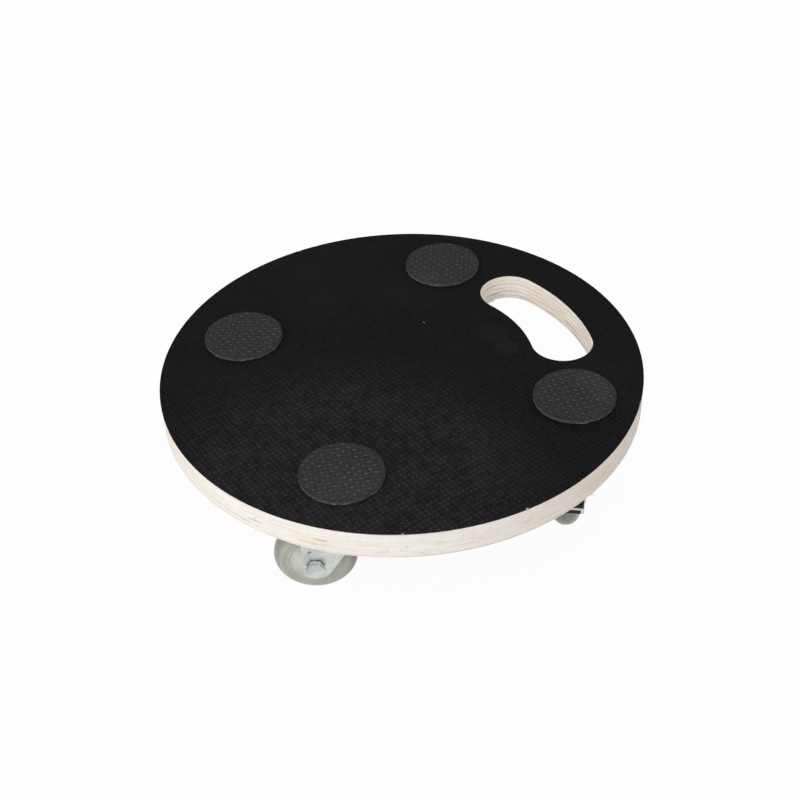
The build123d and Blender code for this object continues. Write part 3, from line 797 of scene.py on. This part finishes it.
def lattice(pitch, turn, offset, reach):
    """A square grid, turned: its places, pitch times whole numbers plus an offset, and the numbers."""
    count = int(reach / pitch) + 2
    i, j = np.meshgrid(np.arange(-count, count + 1), np.arange(-count, count + 1))
    u, v = (i.ravel() + offset[0]) * pitch, (j.ravel() + offset[1]) * pitch
    places = np.stack([u * cos(turn) - v * sin(turn), u * sin(turn) + v * cos(turn)], 1)
    return places, i.ravel(), j.ravel()


def off_axis(points):
    """Distance of each point from the Z axis."""
    return np.hypot(points[..., 0], points[..., 1])


def laid_over(points, place, axis):
    """Points made about Z, laid over so that Z runs along a level axis through a place."""
    up = np.array([0.0, 0.0, 1.0])
    return np.asarray(place) + points @ np.stack([np.cross(up, axis), up, axis])


print("turned and scattered forms ready")

# %% [markdown]
# ## Raised dots on the film
# The mesh leaves a square grid of round dots, 3.2 mm apart and turned a few degrees from the grip. A bump
# map would do from afar, but real dots catch the light along the rim and in close views. One dome is
# worked out as a small array and copied to every place clear of the rim, the slot and the discs.

# %% Raised dots on the film
disc_places = np.array([sum(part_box(f"{name}_grip_disc"), Vector()) / 2 for name in castors])
disc_radius = (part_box("front_left_grip_disc")[1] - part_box("front_left_grip_disc")[0]).x / 2
dot_pitch, dot_turn, dot_offset = 0.00321, radians(8.0), (0.474, 0.090)
dot_radius, dot_height, dot_sides, foot_sink = 0.00088, 0.00022, 8, 0.1
edge_margin, disc_margin = 1.5 * dot_radius, 0.2 * dot_radius


def slot_distance(places):
    """Distance from the slot's middle arc: across it, or from the nearer end beyond its ends."""
    angle = np.arctan2(places[:, 1], places[:, 0])
    end = slot_middle * np.array([cos(slot_half_angle), sin(slot_half_angle)])
    beyond = np.hypot(places[:, 0] - end[0], np.abs(places[:, 1]) - end[1])
    return np.where(np.abs(angle) < slot_half_angle, np.abs(off_axis(places) - slot_middle), beyond)


dots, _, _ = lattice(dot_pitch, dot_turn, dot_offset, deck_radius)
to_discs = dots[:, None] - disc_places[:, :2]
clear = off_axis(dots) < deck_radius - edge_margin
clear &= slot_distance(dots) > slot_half_width + edge_margin
clear &= off_axis(to_discs).min(1) > disc_radius + disc_margin
dots = dots[clear]
dot_points, dot_faces = dome(dot_sides, foot_sink)
dot_points, dot_faces = scatter(dot_points, dot_faces, dots, np.zeros(len(dots)),
                                (dot_radius, dot_radius, dot_height), film_high.z)
new_piece("film_dots", dot_points, dot_faces, film_dot, "deck")

# %% [markdown]
# ## Rubber discs
# A disc is a turned form: flat, with a crisp top edge and a wall that the punch left a little ragged. A few waves
# of different lengths are added to the radius for that. Each disc has its own seed, so no two are alike. The
# rubber was cured against cloth, so its face is a plain weave in relief: oval threads that lie one way and the
# other in turn, like a chessboard. The dome copies make it, drawn out and given a quarter turn on every other
# place. The warp threads take the palest painted highlight, and the weft across them a weaker one.

# %% Rubber discs
weave_pitch, weave_offset = 0.0031, (0.25, 0.4)
thread_size, thread_sides = (0.00150, 0.00052, 0.00026), 10
# Each disc's turn in degrees, and whether its warp lies on the odd places
weaves = {"front_left": (-32.3, 0), "front_right": (35.4, 1), "rear_left": (-33.4, 0),
          "rear_right": (-16.7, 0)}
ragged_depth, edge_width, undercut, disc_segments = 0.00036, 0.00022, 0.00045, 300
ragged_inset, ragged_waves = 0.3 * ragged_depth, np.array([5, 12, 23, 47, 71])


def ragged_disc(low, high, seed):
    """Radius = the disc's own less a small inset, plus the mean of five sine waves with seeded phases on
    the rings of the wall."""
    radius = disc_radius - ragged_inset
    profile = [(0, low), (radius - undercut, low), (radius, low + undercut), (radius, high - edge_width),
               (radius - edge_width, high), (0.9 * radius, high), (0.5 * radius, high), (0, high)]
    on_wall = np.array([0, 1, 1, 1, 1, 0, 0, 0])[:, None]
    angle = np.linspace(0, 2 * pi, disc_segments, endpoint=False)
    phases = np.random.default_rng(seed).uniform(0, 2 * pi, len(ragged_waves))
    waves = np.sin(ragged_waves[:, None] * angle + phases[:, None]).mean(0) * ragged_depth
    return turned(profile, disc_segments, on_wall * waves)


thread_points, thread_faces = dome(thread_sides, foot_sink)
for seed, (name, middle) in enumerate(zip(castors, disc_places)):
    low, high = (corner.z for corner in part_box(f"{name}_grip_disc"))
    face_height = high - thread_size[2]
    points, faces = ragged_disc(low, face_height, seed)
    points = points + [middle[0], middle[1], 0]
    disc = new_piece(f"{name}_disc", points, faces, rubber, "deck")
    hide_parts(f"{name}_grip_disc")
    degrees, odd = weaves[name]
    turn = radians(degrees)
    spots, i, j = lattice(weave_pitch, turn, weave_offset, disc_radius)
    inside = off_axis(spots) < disc_radius - thread_size[0]
    # The warp gets the stronger painted highlight, the weft the weaker one.
    for yarn, parity, finish in (("warp", odd, warp_highlight), ("weft", 1 - odd, weft_highlight)):
        chosen = inside & ((i + j) % 2 == parity)
        turns = np.full(chosen.sum(), turn + parity * pi / 2)
        points, faces = scatter(thread_points, thread_faces, spots[chosen] + middle[:2], turns,
                                thread_size, face_height)
        new_piece(f"{name}_{yarn}", points, faces, finish, "deck")

# %% [markdown]
# ## Moulded wheels
# In CAD a wheel is a tyre on a core. Seen through cloudy plastic the two are one body with a nearly flat
# face, so each wheel is one turned form here, with the same hub and round tread. The mould adds what the
# solids leave out: three fine rings on each face, a shallow line where the mould parts, and a slight dish
# in the face. Each point also carries its distance from the axle, which the finish reads.

# %% Moulded wheels
tyre_half, tyre_steps = 0.009, 40
hub_radius, hub_half, bore_radius = 0.0075, 0.0097, 0.0041
face_half, face_steps, dish, corner = 0.0082, 90, 0.0004, 0.0003
ring_radii = ring_first + ring_step * np.arange(ring_count)
ring_height, ring_half, wheel_segments = 0.00034, 0.00050, 120


def tents(values, tops):
    """1 at each top, down to 0 half a ring's width away on both sides."""
    return np.clip(1 - np.abs(values[:, None] - tops) / ring_half, 0, 1).sum(1)


def tyre_side():
    """Half of the tyre's outline, from the face to the crown: an arc of the tyre's half width about a
    point below the crown, pushed in by a tent shape at the parting line."""
    centre = wheel_radius - tyre_half
    angle = np.linspace(acos(face_half / tyre_half), pi / 2, tyre_steps)
    reach = tyre_half - ring_height * tents(angle * tyre_half, np.array([pi / 2 * tyre_half]))
    return np.stack([centre + reach * np.sin(angle), reach * np.cos(angle)], 1)


def wheel_profile():
    """Radius against distance from the wheel's middle plane: bore, hub, a face that dishes in by one half
    wave and carries the rings as tent shapes, and the tyre, then the same mirrored."""
    hub = [(bore_radius, hub_half - corner), (bore_radius + corner, hub_half),
           (hub_radius - corner, hub_half), (hub_radius, hub_half - corner)]
    tyre = tyre_side()
    share = np.linspace(0, 1, face_steps, endpoint=False)
    out = hub_radius + corner + share * (tyre[0, 0] - hub_radius - corner)
    face = np.stack([out, face_half - dish * np.sin(pi * share) + ring_height * tents(out, ring_radii)], 1)
    half = np.vstack([hub, face, tyre])
    return np.vstack([half, (half * [1, -1])[-2::-1]])


for name, roll in axles.items():
    points, faces = turned(wheel_profile(), wheel_segments)
    from_axle = off_axis(points).astype(np.float32)
    points = laid_over(points, roll["pos_m"], roll["axis"])
    wheel = new_piece(f"{name}_wheel_moulding", points, faces, smoky_wheel, f"{name}_wheel")
    wheel.data.attributes.new("from_axle", "FLOAT", "POINT").data.foreach_set("value", from_axle)
    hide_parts(f"{name}_tyre", f"{name}_wheel_core")

# %% [markdown]
# ## Threads on the axle bolts
# A bolt's end stands a little way out of its nut and shows its thread. In CAD it is plain. A turned form
# whose radius follows a triangle wave, shifted by one pitch for each turn round the axis, is a thread.
# Where the bolt ends and where the nut's face lies are measured on the CAD meshes along the axle.

# %% Threads on the axle bolts
thread_radius, thread_depth, thread_pitch, thread_gap = 0.00302, 0.00020, 0.0008, 0.00005
thread_rows, thread_segments = 28, 48


def along_axle(node, place, axis):
    """Distances of a node's points from a place, along an axis."""
    points = np.empty(len(nodes[node].data.vertices) * 3, np.float32)
    nodes[node].data.vertices.foreach_get("co", points)
    return (points.reshape(-1, 3) - place) @ np.array(axis)


def thread_end(length):
    """Height in equal steps, radius = the bolt's plus a triangle wave of (height / pitch - angle / a full
    turn) that tapers off over the last pitch."""
    height = np.linspace(0, length, thread_rows)
    angle = np.linspace(0, 1, thread_segments, endpoint=False)
    wave = np.abs((height[:, None] / thread_pitch - angle) % 1 * 2 - 1) * thread_depth
    taper = np.clip((length - height) / thread_pitch, 0, 1)[:, None]
    profile = np.stack([np.full(thread_rows, thread_radius), height], 1)
    profile = np.vstack([[(0, 0)], profile, [(0, length)]])
    return turned(profile, thread_segments, np.pad(wave * taper, ((1, 1), (0, 0))))


for name, roll in axles.items():
    place, axis = np.array(roll["pos_m"]), np.array(roll["axis"])
    way = np.sign(along_axle(f"{name}_axle_nut", place, axis).mean()) * axis
    nut_face = along_axle(f"{name}_axle_nut", place, way).max()
    bolt_end = along_axle(f"{name}_axle_bolt", place, way).max()
    points, faces = thread_end(bolt_end - nut_face - thread_gap)
    points = laid_over(points, place + way * (nut_face + thread_gap / 2), way)
    new_piece(f"{name}_bolt_thread", points, faces, fastener, f"{name}_swivel")

# %% [markdown]
# ## Floor and sky
# The part stands on a plain pale floor under a plain sky. The white background is a matter of colour, not
# of more light: rays from the camera, and those seen in metal or through the wheels, find a floor and a
# sky of plain white, while the floor still takes a shadow. Seen from below, the floor's back is clear, so
# the dolly's underside can be seen too.

# %% Floor and sky
floor_half, floor_grey, white_share, sky_level = 4.0, 0.64, 0.96, 0.72
floor_mesh = bpy.data.meshes.new("floor")
floor_corners = [(x * floor_half, y * floor_half, 0) for x, y in ((-1, -1), (1, -1), (1, 1), (-1, 1))]
floor_mesh.from_pydata(floor_corners, [], [(0, 1, 2, 3)])
floor = placed("floor", floor_mesh)


def seen_white(tree):
    """1 for rays from the camera, a reflection or a see-through piece, else 0."""
    path = tree.nodes.new("ShaderNodeLightPath").outputs
    seen = sums(tree, "MAXIMUM", path["Is Camera Ray"], path["Is Glossy Ray"])
    return sums(tree, "MAXIMUM", seen, path["Is Transmission Ray"])


def mixed(tree, share, first, second):
    """A share of the second shader over the first."""
    return wire(tree, "ShaderNodeMixShader", {0: share, 1: first, 2: second}).outputs[0]


floor_finish = bpy.data.materials.new("pale_floor")
floor_finish.use_nodes = True
tree = floor_finish.node_tree
tree.nodes.clear()
matt = wire(tree, "ShaderNodeBsdfDiffuse", {"Color": (floor_grey, floor_grey, floor_grey, 1)}).outputs[0]
white = wire(tree, "ShaderNodeEmission", {"Color": (1, 1, 1, 1), "Strength": 1.0}).outputs[0]
see_through = tree.nodes.new("ShaderNodeBsdfTransparent").outputs[0]
below = tree.nodes.new("ShaderNodeNewGeometry").outputs["Backfacing"]
surface = mixed(tree, product(tree, seen_white(tree), white_share), matt, white)
wire(tree, "ShaderNodeOutputMaterial", {0: mixed(tree, below, surface, see_through)})
floor_mesh.materials.append(floor_finish)

world = bpy.data.worlds.new("soft_studio")
scene.world = world
world.use_nodes = True
tree = world.node_tree
background = tree.nodes["Background"].inputs
strength = sums(tree, "MULTIPLY_ADD", seen_white(tree), 1.0 - sky_level, sky_level)
tree.links.new(strength, background["Strength"])
background["Color"].default_value = (1, 1, 1, 1)
print("floor of", 2 * floor_half, "m and a sky of", sky_level)

# %% [markdown]
# ## Lamps
# The sky lights the part softly from everywhere. A broad lamp on the left makes the near rim brighter
# than the far one, and a weaker one from above fills the top. Small lamps would draw hard shadows, so
# both are large.

# %% Lamps


def lamp(name, turn, tilt, distance, size, power):
    """A square lamp that looks at the deck, at angles round from the camera and above the floor."""
    light = bpy.data.lights.new(name, "AREA")
    light.size = size
    light.energy = power
    aim = aimed(camera_turn + radians(turn), radians(tilt))
    placed(name, light).matrix_world = aim @ Matrix.Translation((0, 0, distance))
    print(name, "of", power, "W")


lamp("left_lamp", turn=-41, tilt=38, distance=1.7, size=1.1, power=13.0)
lamp("top_lamp", turn=20, tilt=75, distance=1.6, size=1.2, power=5.0)
